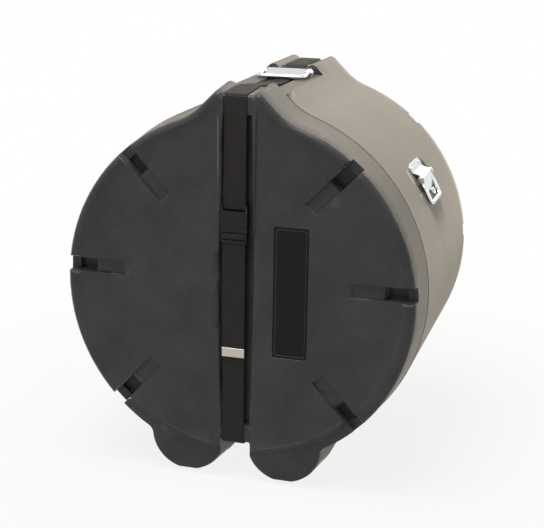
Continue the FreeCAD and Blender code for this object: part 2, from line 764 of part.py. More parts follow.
def buckle_arm(side):
    """A springy arm: a stem from the plug with a thumb pad in the socket's window."""
    stem = buckle_slab(12.0, 15.0, BUCKLE_SPLIT - 5.5, BUCKLE_SPLIT + 18.0, 3.0, 9.0)
    pad = buckle_slab(14.0, 22.2, BUCKLE_SPLIT + 9.6, BUCKLE_SPLIT + 17.0, 3.0, 9.0)
    pad = softened(pad, 2.0, lambda e: along_y(e) and e.CenterOfMass.x > STRAP_X + 20.0)
    arm = stem.fuse(pad).removeSplitter()
    if side > 0:
        return arm
    return arm.mirror(Vector(STRAP_X, 0, 0), Vector(1, 0, 0))


# A bail handle in its own frame: X along the hinge, Y towards the grip, Z outwards
def slope_bearing(foot, side):
    """Where a straight slope from this foot touches the roll over the pin."""
    pin = (0.0, HINGE_HEIGHT)
    reach = math.hypot(foot[0], foot[1] - HINGE_HEIGHT)
    tangent = math.degrees(math.acos(HOOD_ROUND / reach))
    turn = bearing(pin, foot) - side * tangent
    return turn if side > 0 else turn - 360.0


def hood_profile(inset):
    """The hood's section in (y, z): up one slope, over the pin and down the other."""
    pin = (0.0, HINGE_HEIGHT)
    radius = HOOD_ROUND - inset
    back = slope_bearing((HOOD_BACK, SHEET), -1)
    front = slope_bearing((HOOD_FRONT, SHEET), 1)
    low = SHEET if inset == 0.0 else -1.0
    ends = []
    for turn, side in ((back, -1), (front, 1)):
        top = polar(pin, radius, turn)
        fall = (top[1] - low) / abs(math.tan(math.radians(turn)))
        ends.append((top, (top[0] + side * fall, low)))
    (back_top, back_foot), (front_top, front_foot) = ends
    return [
        line(back_foot, back_top),
        arc(pin, radius, back, front),
        line(front_top, front_foot),
        line(front_foot, back_foot),
    ]


def hood_solid(inset, half):
    face = Part.Face(wire(hood_profile(inset), lambda p: Vector(-half, p[0], p[1])))
    return face.extrude(Vector(2 * half, 0, 0))


def handle_plate():
    """A flat tab behind the hinge, a hood rolled over the pin, and two feet past an arch."""
    tab = box(-TAB_HALF, TAB_HALF, TAB_BACK, TAB_FRONT, 0, SHEET)
    tab = tab.makeFillet(9.0, [e for e in tab.Edges if upright_edge(e)])
    feet = box(-HOOD_HALF, HOOD_HALF, 22.0, FEET_END, 0, SHEET)
    feet = feet.makeFillet(5.0, [e for e in feet.Edges if on_corner(e, FEET_END)])
    skirt = box(-HOOD_HALF, HOOD_HALF, HOOD_BACK, HOOD_FRONT, 0, SHEET)
    hood = hood_solid(0.0, HOOD_HALF).fuse(skirt).cut(hood_solid(SHEET, HOOD_HALF + 1.0))
    roll = shaft(HOOD_ROUND, (-HOOD_HALF, 0, HINGE_HEIGHT), (1, 0, 0), 2 * HOOD_HALF)
    arch = shaft(ARCH_RADIUS, (0, HOOD_FRONT + ARCH_RADIUS + 0.5, -1), (0, 0, 1), 30)
    bore = shaft(PIN_RADIUS + 0.04, (-60, 0, HINGE_HEIGHT), (1, 0, 0), 120)
    plate = cut_all(joined([hood, tab, feet, roll]), [arch, bore])
    holes = [shaft(RIVET_RADIUS + 0.04, (u, v, -1), (0, 0, 1), 6) for u, v in rivet_places()]
    return cut_all(plate, holes)


def upright_edge(edge):
    a, b = edge.Vertexes[0].Point, edge.Vertexes[-1].Point
    return abs(a.x - b.x) < 1e-6 and abs(a.y - b.y) < 1e-6


def on_corner(edge, y):
    return upright_edge(edge) and abs(edge.CenterOfMass.y - y) < 1e-6


def handle_pin():
    """A plain pin with a peened button on each end."""
    reach = BAIL_HALF + BAIL_RADIUS + 0.3
    pin = shaft(PIN_RADIUS, (-reach, 0, HINGE_HEIGHT), (1, 0, 0), 2 * reach)
    buttons = [shaft(4.6, (x, 0, HINGE_HEIGHT), (1, 0, 0), 1.6) for x in (-reach - 1.6, reach)]
    return joined([pin, *buttons])


def corner_bend(side):
    """A quarter of a ring that joins a leg of the bail to its grip."""
    centre = Vector(side * (BAIL_HALF - BAIL_CORNER), BAIL_REACH - BAIL_CORNER, HINGE_HEIGHT)
    ring = Part.makeTorus(BAIL_CORNER, BAIL_RADIUS, Vector(0, 0, 0), Vector(0, 0, 1), -180, 180, 90)
    ring.rotate(Vector(0, 0, 0), Vector(0, 0, 1), 0.0 if side > 0 else 90.0)
    ring.translate(centre)
    return ring


def handle_bail():
    """A round bar bent to a U, with a rolled eye on each leg."""
    straight = BAIL_REACH - BAIL_CORNER
    grip = BAIL_HALF - BAIL_CORNER
    bars = [shaft(BAIL_RADIUS, (sx * BAIL_HALF, 4.0, HINGE_HEIGHT), (0, 1, 0), straight - 4.0)
            for sx in (-1, 1)]
    bars.append(shaft(BAIL_RADIUS, (-grip, BAIL_REACH, HINGE_HEIGHT), (1, 0, 0), 2 * grip))
    bends = [corner_bend(side) for side in (-1, 1)]
    eyes = [shaft(7.0, (x - 3.5, 0, HINGE_HEIGHT), (1, 0, 0), 7.0) for x in (-BAIL_HALF, BAIL_HALF)]
    bail = joined(bars + bends + eyes)
    bail = bail.cut(shaft(PIN_RADIUS + PIN_FIT, (-60, 0, HINGE_HEIGHT), (1, 0, 0), 120))
    lay = math.degrees(math.atan2(HINGE_HEIGHT - BAIL_RADIUS - 0.8, BAIL_REACH))
    bail.rotate(Vector(0, 0, HINGE_HEIGHT), Vector(1, 0, 0), -lay)
    return bail


def rivet(u, v, grip):
    """A low head outside, a shank through plate and wall, a set head inside."""
    head = Part.makeCone(4.6, 3.2, 1.8, Vector(u, v, SHEET), Vector(0, 0, 1))
    shank = shaft(RIVET_RADIUS, (u, v, -grip - 0.1), (0, 0, 1), grip + 0.1 + SHEET)
    tail = shaft(4.6, (u, v, -grip - 1.6), (0, 0, 1), 1.5)
    return joined([head, shank, tail])


def handle_parts(grips):
    rivets = [rivet(u, v, grips[v]) for u, v in rivet_places()]
    return {
        "plate": handle_plate(),
        "pin": handle_pin(),
        "bail": handle_bail(),
        "rivets": Part.makeCompound(rivets),
    }


def side_wall(offset):
    """From a side handle's seat to the round inner wall, this far along the plate."""
    return SIDE_SEAT - math.sqrt((RADIUS + TUB_GROWTH - WALL) ** 2 - offset**2)


def handles():
    """The three handles, each with its rivets' grip through the wall behind it."""
    near, low = RIVETS[0][1], RIVETS[1][1]
    top_wall = TOP_SEAT - (CHANNEL_DIP - WALL - 1.0)
    side_walls = {v: side_wall(abs(v) + 4.6) for v in (near, low)}
    grips = {"top": {near: top_wall, low: top_wall}, "right": side_walls, "left": side_walls}
    nodes = {}
    for name, frame in handle_frames().items():
        for part, shape in handle_parts(grips[name]).items():
            shape.Placement = frame.multiply(shape.Placement)
            nodes[f"{name}_handle_{part}"] = shape
    return nodes


def build():
    pads = half_moons()
    nodes = {
        "lid_shell": lid_shell(),
        "base_shell": base_shell(),
        "lid_pads": pads,
        "base_pads": to_back([pads])[0],
        "strap_front_upper": strap_front_upper(),
        "strap_front_lower": strap_front_lower(),
        "strap_tip": strap_tip(),
        "strap_base": strap_base(),
        "buckle_socket": buckle_socket(),
        "buckle_plug": buckle_plug(),
        "buckle_arm_right": buckle_arm(1),
        "buckle_arm_left": buckle_arm(-1),
    }
    nodes.update(handles())
    return nodes


for name, shape in build().items():
    shape.exportStep(f"parts/{name}.step")
    state = "valid" if shape.isValid() else "NOT VALID"
    print(name, state, len(shape.Solids), round(shape.Volume / 1000.0, 1), "cm3")
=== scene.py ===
# %% [markdown]
# # A bass drum case
# The real object is a hard case that a bass drum travels in. A round tub and a short lid
# are moulded in black polyethylene with a fine leather grain. One web strap runs round both
# and closes with a side-release buckle, and three chromed bail handles are riveted on.
# The lesson loads the engineering model as a fixed frame, gives each part soft edges and a
# finish of its own, and lights it like a catalogue picture.

# %% Load the frame
import math

import bmesh
import bpy
from mathutils import Matrix, Vector
from mathutils.bvhtree import BVHTree
from mathutils.geometry import intersect_point_line
from mathutils.kdtree import KDTree


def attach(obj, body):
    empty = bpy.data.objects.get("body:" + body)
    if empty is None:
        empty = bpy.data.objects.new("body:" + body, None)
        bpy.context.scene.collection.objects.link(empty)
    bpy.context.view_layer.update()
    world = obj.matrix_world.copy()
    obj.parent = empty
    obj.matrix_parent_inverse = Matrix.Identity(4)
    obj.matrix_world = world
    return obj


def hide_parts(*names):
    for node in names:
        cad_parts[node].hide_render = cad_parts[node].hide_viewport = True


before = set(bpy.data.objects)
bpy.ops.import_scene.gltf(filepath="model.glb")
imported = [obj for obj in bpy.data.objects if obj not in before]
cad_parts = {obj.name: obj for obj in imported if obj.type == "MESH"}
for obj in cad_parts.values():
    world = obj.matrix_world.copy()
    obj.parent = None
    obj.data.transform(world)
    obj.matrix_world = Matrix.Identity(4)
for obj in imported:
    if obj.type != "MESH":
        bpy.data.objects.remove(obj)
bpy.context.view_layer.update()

# %% [markdown]
# Colours are easiest to judge as the hex values that a colour picker shows, but a shader
# works in linear light. One function turns the first into the second, so that every
# colour in the file can be written the way it looks.


# %% Colours from hex
def linear(code):
    """A hex colour as the linear RGBA that a shader socket takes."""
    channels = [int(code[i:i + 2], 16) / 255.0 for i in (1, 3, 5)]
    return tuple(c / 12.92 if c < 0.04045 else ((c + 0.055) / 1.055) ** 2.4 for c in channels) + (1.0,)


MM = 0.001
print("charcoal is", linear("#3a3a3a"))

# %% [markdown]
# A material here is a small tree of nodes. Adding a node always means the same three
# things: choosing its kind, setting it, and linking its inputs. One function does all
# three, so each material below reads as a list of what happens to the surface.


# %% A helper that adds one node
def add_node(tree, kind, settings=None, **inputs):
    """Adds a node, sets its properties, and fills its inputs with values or links."""
    node = tree.nodes.new(kind)
    for name, value in (settings or {}).items():
        setattr(node, name, value)
    for name, value in inputs.items():
        key = int(name[1:]) if name[0] == "_" else name.replace("_", " ")
        if isinstance(value, bpy.types.NodeSocket):
            tree.links.new(value, node.inputs[key])
        else:
            node.inputs[key].default_value = value
    return node


def new_material(name):
    material = bpy.data.materials.new(name)
    material.use_nodes = True
    material.node_tree.nodes.clear()
    return material, material.node_tree


def finish_material(tree, shader):
    add_node(tree, "ShaderNodeOutputMaterial", Surface=shader.outputs["BSDF"])


print("helpers ready")

# %% [markdown]
# ## Moulded polyethylene
# The shells are rotationally moulded polyethylene. The mould's wall is etched with a
# leather pattern, which the plastic picks up as shallow pebbles about 1.5 mm across, drawn
# here at 2.6 mm so that they show. Voronoi cells give the pebbles, and their colour is
# painted darker towards the cells' borders and paler at the crowns: painted shade in the
# grain's valleys and a painted highlight on its tops, with patches of random tone mixed in.
# A slower noise makes the surface swim a little as thick mouldings do, and a broad noise
# varies the gloss. A thin bloom of dust, drawn as sheen, turns the sides a warm grey where
# they are seen at a shallow angle.


# %% Moulded polyethylene with a leather grain
def moulded_polyethylene():
    material, tree = new_material("moulded_polyethylene")
    place = add_node(tree, "ShaderNodeTexCoord").outputs["Object"]
    pebble_size = 2.6 * MM
    pebbles = add_node(tree, "ShaderNodeTexVoronoi", {"feature": "SMOOTH_F1"},
                       Vector=place, Scale=1.0 / pebble_size, Smoothness=0.6)
    wander = add_node(tree, "ShaderNodeTexNoise", Vector=place, Scale=9.0, Detail=3.0)
    patches = add_node(tree, "ShaderNodeTexNoise", Vector=place, Scale=14.0, Detail=5.0)
    # Painted shade in the grain's valleys and a painted highlight on the pebbles' crowns, plus random
    # patches of tone.
    grain_shade_and_patches = add_node(tree, "ShaderNodeMath", {"operation": "MULTIPLY_ADD"},
                      _0=pebbles.outputs["Distance"], _1=-0.5, _2=patches.outputs["Fac"])
    tone = add_node(tree, "ShaderNodeValToRGB", Fac=grain_shade_and_patches.outputs["Value"])
    tone.color_ramp.elements[0].position = 0.0
    tone.color_ramp.elements[0].color = linear("#272728")
    tone.color_ramp.elements[1].position = 0.6
    tone.color_ramp.elements[1].color = linear("#3c3c3b")
    gloss = add_node(tree, "ShaderNodeMapRange", Value=patches.outputs["Fac"],
                     To_Min=0.38, To_Max=0.50)
    grain = add_node(tree, "ShaderNodeBump", Height=pebbles.outputs["Distance"],
                     Distance=0.4 * MM, Strength=0.6)
    swim = add_node(tree, "ShaderNodeBump", Height=wander.outputs["Fac"],
                    Normal=grain.outputs["Normal"], Distance=3.0 * MM, Strength=0.25)
    shader = add_node(tree, "ShaderNodeBsdfPrincipled", Base_Color=tone.outputs["Color"],
                      Roughness=gloss.outputs["Result"], Normal=swim.outputs["Normal"], IOR=1.38,
                      Sheen_Weight=1.0, Sheen_Roughness=0.3, Sheen_Tint=linear("#ddd2bc"))
    finish_material(tree, shader)
    return material


def smooth_polyethylene():
    """The recess lacks the mould's leather pattern, so it is darker and smoother."""
    material, tree = new_material("smooth_polyethylene")
    place = add_node(tree, "ShaderNodeTexCoord").outputs["Object"]
    haze = add_node(tree, "ShaderNodeTexNoise", Vector=place, Scale=90.0, Detail=4.0)
    tone = add_node(tree, "ShaderNodeValToRGB", Fac=haze.outputs["Fac"])
    tone.color_ramp.elements[0].color = linear("#0c0c0c")
    tone.color_ramp.elements[1].color = linear("#161615")
    gloss = add_node(tree, "ShaderNodeMapRange", Value=haze.outputs["Fac"],
                     To_Min=0.30, To_Max=0.42)
    skin = add_node(tree, "ShaderNodeBump", Height=haze.outputs["Fac"],
                    Distance=0.3 * MM, Strength=0.2)
    shader = add_node(tree, "ShaderNodeBsdfPrincipled", Base_Color=tone.outputs["Color"],
                      Roughness=gloss.outputs["Result"], Normal=skin.outputs["Normal"], IOR=1.25)
    finish_material(tree, shader)
    return material


polyethylene = moulded_polyethylene()
plain_black = smooth_polyethylene()
print("made", polyethylene.name, plain_black.name)

# %% [markdown]
# ## Polypropylene webbing
# The strap is woven from thick polypropylene yarn. The weft shows as ribs straight across
# it, about 1.6 mm apart, which are drawn here at 2.6 mm because finer ones vanish in the
# picture. The pattern follows the strap's own UV map, which runs along its length in metres.


# %% Woven webbing
RIB_PITCH = 2.6 * MM
WAVE_PERIOD = math.tau / 20.0  # the distance between two bands of a wave texture at scale 1


def woven_webbing():
    material, tree = new_material("polypropylene_webbing")
    flat = add_node(tree, "ShaderNodeUVMap", {"uv_map": "length"}).outputs["UV"]
    ribs = add_node(tree, "ShaderNodeTexWave", {"bands_direction": "Y"}, Vector=flat,
                    Scale=WAVE_PERIOD / RIB_PITCH, Distortion=0.4, Detail=2.0, Detail_Scale=3.0)
    warp = add_node(tree, "ShaderNodeTexWave", {"bands_direction": "X"}, Vector=flat,
                    Scale=WAVE_PERIOD / RIB_PITCH * 1.5)
    threads = add_node(tree, "ShaderNodeMath", {"operation": "MULTIPLY_ADD"},
                       _0=warp.outputs["Fac"], _1=0.35, _2=ribs.outputs["Fac"])
    # The colour follows the ribs: painted shade darkens the troughs between them.
    tone = add_node(tree, "ShaderNodeValToRGB", Fac=ribs.outputs["Fac"])
    tone.color_ramp.elements[0].color = linear("#080706")
    tone.color_ramp.elements[1].color = linear("#2b2621")
    relief = add_node(tree, "ShaderNodeBump", Height=threads.outputs["Value"],
                      Distance=0.6 * MM, Strength=0.9)
    shader = add_node(tree, "ShaderNodeBsdfPrincipled", Base_Color=tone.outputs["Color"],
                      Roughness=0.68, Normal=relief.outputs["Normal"], IOR=1.3,
                      Sheen_Weight=0.06, Sheen_Roughness=0.5)
    finish_material(tree, shader)
    return material


webbing = woven_webbing()
print("made", webbing.name)

# %% [markdown]
# ## Acetal, chrome and the rest
# The buckle is injection-moulded acetal: smooth, black and slightly waxy. The handles are
# pressed and bent steel, chrome-plated, with the small waviness that plating leaves.
# The tail's clip is plain nickel-plated steel, and the pads are closed-cell foam.


# %% Acetal, chrome, nickel and foam
def black_acetal():
    material, tree = new_material("moulded_acetal")
    place = add_node(tree, "ShaderNodeTexCoord").outputs["Object"]
    haze = add_node(tree, "ShaderNodeTexNoise", Vector=place, Scale=220.0, Detail=3.0)
    gloss = add_node(tree, "ShaderNodeMapRange", Value=haze.outputs["Fac"],
                     To_Min=0.26, To_Max=0.38)
    skin = add_node(tree, "ShaderNodeBump", Height=haze.outputs["Fac"],
                    Distance=0.1 * MM, Strength=0.2)
    shader = add_node(tree, "ShaderNodeBsdfPrincipled", Base_Color=linear("#0e0e0e"),
                      Roughness=gloss.outputs["Result"], Normal=skin.outputs["Normal"], IOR=1.33)
    finish_material(tree, shader)
    return material


def plated_metal(name, colour, dull, bright, wave):
    material, tree = new_material(name)
    place = add_node(tree, "ShaderNodeTexCoord").outputs["Object"]
    ripple = add_node(tree, "ShaderNodeTexNoise", Vector=place, Scale=60.0, Detail=2.0)
    smears = add_node(tree, "ShaderNodeTexNoise", Vector=place, Scale=240.0, Detail=6.0)
    gloss = add_node(tree, "ShaderNodeMapRange", Value=smears.outputs["Fac"],
                     To_Min=bright, To_Max=dull)
    skin = add_node(tree, "ShaderNodeBump", Height=ripple.outputs["Fac"],
                    Distance=wave * MM, Strength=0.3)
    shader = add_node(tree, "ShaderNodeBsdfPrincipled", Base_Color=linear(colour), Metallic=1.0,
                      Roughness=gloss.outputs["Result"], Normal=skin.outputs["Normal"])
    finish_material(tree, shader)
    return material


def closed_cell_foam():
    material, tree = new_material("closed_cell_foam")
    place = add_node(tree, "ShaderNodeTexCoord").outputs["Object"]
    cells = add_node(tree, "ShaderNodeTexVoronoi", Vector=place, Scale=1.0 / (2.5 * MM))
    # Painted shade: the colour is darkest in the cells' sunken middles, where the bump puts the pits.
    tone = add_node(tree, "ShaderNodeValToRGB", Fac=cells.outputs["Distance"])
    tone.color_ramp.elements[0].color = linear("#26262a")
    tone.color_ramp.elements[1].color = linear("#36363a")
    skin = add_node(tree, "ShaderNodeBump", Height=cells.outputs["Distance"],
                    Distance=0.5 * MM, Strength=0.6)
    shader = add_node(tree, "ShaderNodeBsdfPrincipled", Base_Color=tone.outputs["Color"],
                      Roughness=0.9, Normal=skin.outputs["Normal"])
    finish_material(tree, shader)
    return material


acetal = black_acetal()
chrome = plated_metal("chrome_plate", "#d8dadc", 0.16, 0.06, 0.5)
nickel = plated_metal("nickel_plate", "#b9b3a6", 0.38, 0.24, 0.3)
foam = closed_cell_foam()
print("made", acetal.name, chrome.name, nickel.name, foam.name)

# %% [markdown]
# ## Soft edges on hard parts
# A moulded or pressed part never has a knife edge: each corner has a small radius that
# catches the light. The frame's meshes are loose triangles, so a copy is merged, its flat
# areas are joined into whole faces, and the sharp edges get a small bevel. The copy then
# stands for the original, which stays hidden as the collision shape.

# %% A merged copy of a frame part
SMOOTH_ANGLE = math.radians(20.0)
BEVEL_ANGLE = math.radians(32.0)
FLAT_ANGLE = math.radians(0.5)
WELD_DISTANCE = 0.002 * MM


def merged_copy(node):
    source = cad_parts[node]
    shape = bmesh.new()
    shape.from_mesh(source.data)
    bmesh.ops.remove_doubles(shape, verts=shape.verts, dist=WELD_DISTANCE)
    bmesh.ops.dissolve_limit(shape, angle_limit=FLAT_ANGLE,
                             verts=shape.verts, edges=shape.edges, delimit={"NORMAL"})
    return shape


def put_in_scene(shape, name, material, body, nodes):
    mesh = bpy.data.meshes.new(name)
    shape.to_mesh(mesh)
    shape.free()
    piece = bpy.data.objects.new(name, mesh)
    bpy.context.scene.collection.objects.link(piece)
    mesh.materials.append(material)
    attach(piece, body)
    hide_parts(*nodes)
    return piece


def shade_softly(piece):
    """Smooth shading that stops at edges sharper than the limit."""
    mesh = piece.data
    mesh.polygons.foreach_set("use_smooth", [True] * len(mesh.polygons))
    mesh.set_sharp_from_angle(angle=SMOOTH_ANGLE)


print("smooth below", round(math.degrees(SMOOTH_ANGLE)), "degrees,",
      "rounded above", round(math.degrees(BEVEL_ANGLE)))

# %% [markdown]
# A bevel that is wider than the faces beside it folds over itself. So an edge is rounded
# only where there is room at both ends, and it gets a weight: one where the whole radius
# fits, and less where the next edge is short or leaves at a small angle. Edges that meet
# share the least weight, so that their bevels join up. Thin lips stay crisp all the way
# round, because a bevel that comes and goes along them would show.


# %% A bevel that fits the room beside each edge
LEAST_SHARE = 0.2
WEIGHT_PASSES = 2
ROOM_SHARE = 0.4
LIP_REACH = 1.6 * MM


def room_beside(edge, vert, face, rounded):
    """How wide a bevel of the edge may be before it runs past the next edge of the face."""
    other = next(e for e in face.edges if e is not edge and vert in e.verts)
    turn = (edge.other_vert(vert).co - vert.co).angle(other.other_vert(vert).co - vert.co, 0.0)
    if other in rounded:
        return ROOM_SHARE * min(edge.calc_length(), other.calc_length()) * math.tan(turn / 2.0)
    return ROOM_SHARE * other.calc_length() * math.sin(turn)


def share_of(edge, radius, rounded):
    room = min(room_beside(edge, vert, face, rounded)
               for vert in edge.verts for face in edge.link_faces)
    return max(0.0, min(1.0, room / radius))


def edges_with_room(sharp, radius):
    """The sharp edges that have room, less those that meet one without room."""
    roomy = {e for e in sharp if share_of(e, radius, sharp) > LEAST_SHARE}
    tight = {v for e in sharp - roomy for v in e.verts}
    return {e for e in roomy if not tight.intersection(e.verts)}


def on_a_lip(ends, lips):
    """Whether an edge with these ends runs along a lip, at one of the depths in mm."""
    return any(all(abs(end.y - lip * MM) < LIP_REACH for end in ends) for lip in lips)


def keep_lips_crisp(mesh, lips):
    """Stops the smooth shading at the lips, also where the skin turns by a small angle there."""
    sharp = (mesh.attributes.get("sharp_edge")
             or mesh.attributes.new("sharp_edge", "BOOLEAN", "EDGE"))
    for edge in mesh.edges:
        if on_a_lip([mesh.vertices[i].co for i in edge.vertices], lips):
            sharp.data[edge.index].value = True


def weigh_edges(shape, radius, lips):
    weight = shape.edges.layers.float.new("bevel_weight_edge")
    sharp = {e for e in shape.edges
             if len(e.link_faces) == 2 and e.calc_face_angle(0.0) > BEVEL_ANGLE
             and not on_a_lip([v.co for v in e.verts], lips)}
    rounded = edges_with_room(sharp, radius)
    for edge in rounded:
        edge[weight] = share_of(edge, radius, rounded)
    for _ in range(WEIGHT_PASSES):
        least = {v: min(e[weight] for e in v.link_edges if e in rounded)
                 for e in rounded for v in e.verts}
        for edge in rounded:
            edge[weight] = min(edge[weight], *(least[v] for v in edge.verts))


print("a bevel needs room for at least", LEAST_SHARE, "of its radius")

# %% [markdown]
# Where many small faces meet, a bevel can still throw out a spike or fold a face over
# itself. A rounded corner never stands further off the plain mesh than half its radius, and
# a sound face is no smaller than the triangles that fill it, so both faults can be measured.
# Cutting the large faces into cells first keeps each fault to its own cell.


# %% Finding the torn places of a bevel
CUT_CLEARANCE = 0.02 * MM
SPIKE_SHARE = 0.5
AREA_SLACK = 1.003
LEAST_FOLD = 0.2 * MM * MM
TURNED_BACK = math.radians(150.0)


def cut_in_cells(shape, cuts):
    """Cuts the mesh along planes across each axis, at distances in mm."""
    for axis, distances in enumerate(cuts):
        across = Vector([float(axis == i) for i in range(3)])
        for distance in distances:
            bmesh.ops.bisect_plane(shape, geom=shape.verts[:] + shape.edges[:] + shape.faces[:],
                                   plane_co=across * distance * MM, plane_no=across,
                                   dist=CUT_CLEARANCE)


def folded_faces(mesh):
    """Faces that are smaller than the triangles that fill them."""
    mesh.calc_loop_triangles()
    filled = [0.0] * len(mesh.polygons)
    for triangle in mesh.loop_triangles:
        filled[triangle.polygon_index] += triangle.area
    return [face for face in mesh.polygons
            if filled[face.index] > AREA_SLACK * face.area + LEAST_FOLD]


def corners_turned_back(mesh, face):
    """The corners at which a face's outline runs back along itself."""
    points = [mesh.vertices[i].co for i in face.vertices]
    turned = []
    for k, corner in enumerate(face.vertices):
        before = points[k] - points[k - 1]
        after = points[(k + 1) % len(points)] - points[k]
        if before.angle(after, 0.0) > TURNED_BACK:
            turned.append(corner)
    return turned


def torn_places(piece, radius, whole_faces):
    """Places on the plain mesh that lie under the spikes and the folds of its bevel."""
    plain = BVHTree.FromPolygons([v.co for v in piece.data.vertices],
                                 [p.vertices for p in piece.data.polygons])
    finished = piece.evaluated_get(bpy.context.evaluated_depsgraph_get())
    mesh = finished.to_mesh()
    nearest = [plain.find_nearest(v.co) for v in mesh.vertices]
    spikes = [hit[0] for hit in nearest if hit[3] > SPIKE_SHARE * radius]
    folded = set()
    for face in folded_faces(mesh):
        folded.update(face.vertices if whole_faces else corners_turned_back(mesh, face))
    folds = [nearest[i][0] for i in folded]
    finished.to_mesh_clear()
    return spikes, folds


print("a corner may stand off the plain mesh by", SPIKE_SHARE, "of the radius")

# %% [markdown]
# The edges at a torn place are left sharp, which nobody sees at that size. The first rounds
# free only the corner where a face turns back on itself, and the last rounds the whole
# outline of the face. One function then makes a finished part from a node of the frame.


# %% Leaving torn places sharp
SPIKE_REACH = 6.0
FOLD_REACH = 1.0
LOCAL_ROUNDS = 4
MENDING_ROUNDS = 8


def off_edge(point, start, end):
    foot, share = intersect_point_line(point, start, end)
    return (point - (start + (end - start) * max(0.0, min(1.0, share)))).length


def sharpen_near(piece, places, reach):
    """Takes the bevel off every edge within reach of a place."""
    tree = KDTree(len(places))
    for i, place in enumerate(places):
        tree.insert(place, i)
    tree.balance()
    mesh = piece.data
    weight = mesh.attributes["bevel_weight_edge"].data
    for edge in mesh.edges:
        start, end = (mesh.vertices[i].co for i in edge.vertices)
        near = tree.find_range((start + end) / 2.0, reach + (end - start).length / 2.0)
        if any(off_edge(place, start, end) < reach for place, _, _ in near):
            weight[edge.index].value = 0.0
    mesh.update()


def mend_bevel(piece, radius):
    """Takes the bevel off where it tears, and returns how many places each round found."""
    found = []
    for round_number in range(MENDING_ROUNDS):
        spikes, folds = torn_places(piece, radius, round_number >= LOCAL_ROUNDS)
        found.append(len(spikes) + len(folds))
        sharpen_near(piece, spikes, SPIKE_REACH * radius)
        sharpen_near(piece, folds, FOLD_REACH * radius)
        if round_number >= LOCAL_ROUNDS and not found[-1]:
            break
    return found


def rounded_part(node, material, body, radius, segments=2, cuts=(), lips=()):
    shape = merged_copy(node)
    cut_in_cells(shape, cuts)
    weigh_edges(shape, radius * MM, lips)
    piece = put_in_scene(shape, node + "_finished", material, body, [node])
    bevel = piece.modifiers.new("edge_radius", "BEVEL")
    bevel.width = radius * MM
    bevel.segments = segments
    bevel.limit_method = "WEIGHT"
    bevel.use_clamp_overlap = False
    bevel.harden_normals = True
    shade_softly(piece)
    keep_lips_crisp(piece.data, lips)
    print(node, len(piece.data.polygons), "faces before the bevel, places mended:",
          mend_bevel(piece, radius * MM))
    return piece


print("up to", MENDING_ROUNDS, "rounds of mending")

# %% [markdown]
# ## The shells
# The lid and the tub are the largest surfaces, so their rims matter most. A radius of
# 1.5 mm on the moulded corners is what rotational moulding gives at its tightest. The long
# side faces are cut up too, so that a notch or a flat seat shades only its own stretch.

# %% Lid and tub
SHELL_RADIUS = 1.5
SHELL_SEGMENTS = 3
CELL_SIZE = 45.0
WIDTH_CUTS = [CELL_SIZE * i for i in range(-6, 7)]
HEIGHT_CUTS = [CELL_SIZE * i for i in range(1, 15)]
LID_DEPTH_CUTS = (-209.0, -185.0)
TUB_DEPTH_CUTS = (-120.0, -60.0, 80.0, 150.0, 209.0)
LID_LIPS = (-160.0,)
TUB_LIPS = (-198.0, -159.0, -151.0)
RECESS_SIDES = (64.0, 124.0)
RECESS_ENDS = (230.0, 456.0)
RECESS_DEPTHS = (-237.0, -236.0)


def finish_recess(lid):
    """Gives the floor of the lid's plain recess its own finish."""
    lid.data.materials.append(plain_black)
    count = 0
    for face in lid.data.polygons:
        x, y, z = face.center / MM
        if (RECESS_SIDES[0] < x < RECESS_SIDES[1] and RECESS_ENDS[0] < z < RECESS_ENDS[1]
                and RECESS_DEPTHS[0] < y < RECESS_DEPTHS[1]):
            face.material_index = 1
            count += 1
    print(count, "faces of the recess")


finish_recess(rounded_part("lid_shell", polyethylene, "lid", SHELL_RADIUS, SHELL_SEGMENTS,
                           cuts=(WIDTH_CUTS, LID_DEPTH_CUTS, HEIGHT_CUTS), lips=LID_LIPS))
rounded_part("base_shell", polyethylene, "base", SHELL_RADIUS, SHELL_SEGMENTS,
             cuts=(WIDTH_CUTS, TUB_DEPTH_CUTS, HEIGHT_CUTS), lips=TUB_LIPS)

# %% [markdown]
# ## The foam pads
# Inside each end, two half-moons of foam keep the drum's hoop off the plastic. They are cut
# from sheet, so their edges are square with only a slight softness.

# %% Foam pads
for node, body in (("lid_pads", "lid"), ("base_pads", "base")):
    pad = rounded_part(node, foam, body, 0.4)

# %% [markdown]
# ## The strap
# The web's ribs must run across it wherever it bends, so each strap carries a UV map whose
# first coordinate is the distance across and whose second is the distance along. The
# distance along follows from the place on the case: height on the faces, depth on the
# top and bottom.


# %% Web with a map along its length
UPRIGHT_LIMIT = 0.7
SELVEDGE_RADIUS = 0.5 * MM
SELVEDGE_ANGLE = math.radians(60.0)


def web_strap(node, body):
    shape = merged_copy(node)
    layer = shape.loops.layers.uv.new("length")
    for face in shape.faces:
        upright = abs(face.normal.z) < UPRIGHT_LIMIT
        for loop in face.loops:
            co = loop.vert.co
            loop[layer].uv = (co.x, co.z if upright else co.y)
    piece = put_in_scene(shape, node + "_woven", webbing, body, [node])
    bevel = piece.modifiers.new("selvedge", "BEVEL")
    bevel.width = SELVEDGE_RADIUS
    bevel.segments = 2
    bevel.limit_method = "ANGLE"
    bevel.angle_limit = SELVEDGE_ANGLE
    shade_softly(piece)
    print(piece.name, len(piece.data.polygons), "faces before the bevel")


for node, body in (("strap_front_upper", "lid"), ("strap_front_lower", "lid"),
                   ("strap_base", "base")):
    web_strap(node, body)
rounded_part("strap_tip", nickel, "lid", 0.3)

# %% [markdown]
# ## The buckle
# The buckle's two halves and its arms keep the frame's shapes. Moulded acetal has corners of
# about half a millimetre.

# %% Buckle
for node, body in (("buckle_socket", "lid"), ("buckle_plug", "lid"),
                   ("buckle_arm_right", "arm_right"), ("buckle_arm_left", "arm_left")):
    rounded_part(node, acetal, body, 0.5)

# %% [markdown]
# ## The handles
# Each handle is a pressed plate with a hood over its hinge pin, a bail of round bar, and
# four rivets. Pressed sheet has soft edges, and the plating rounds them further.

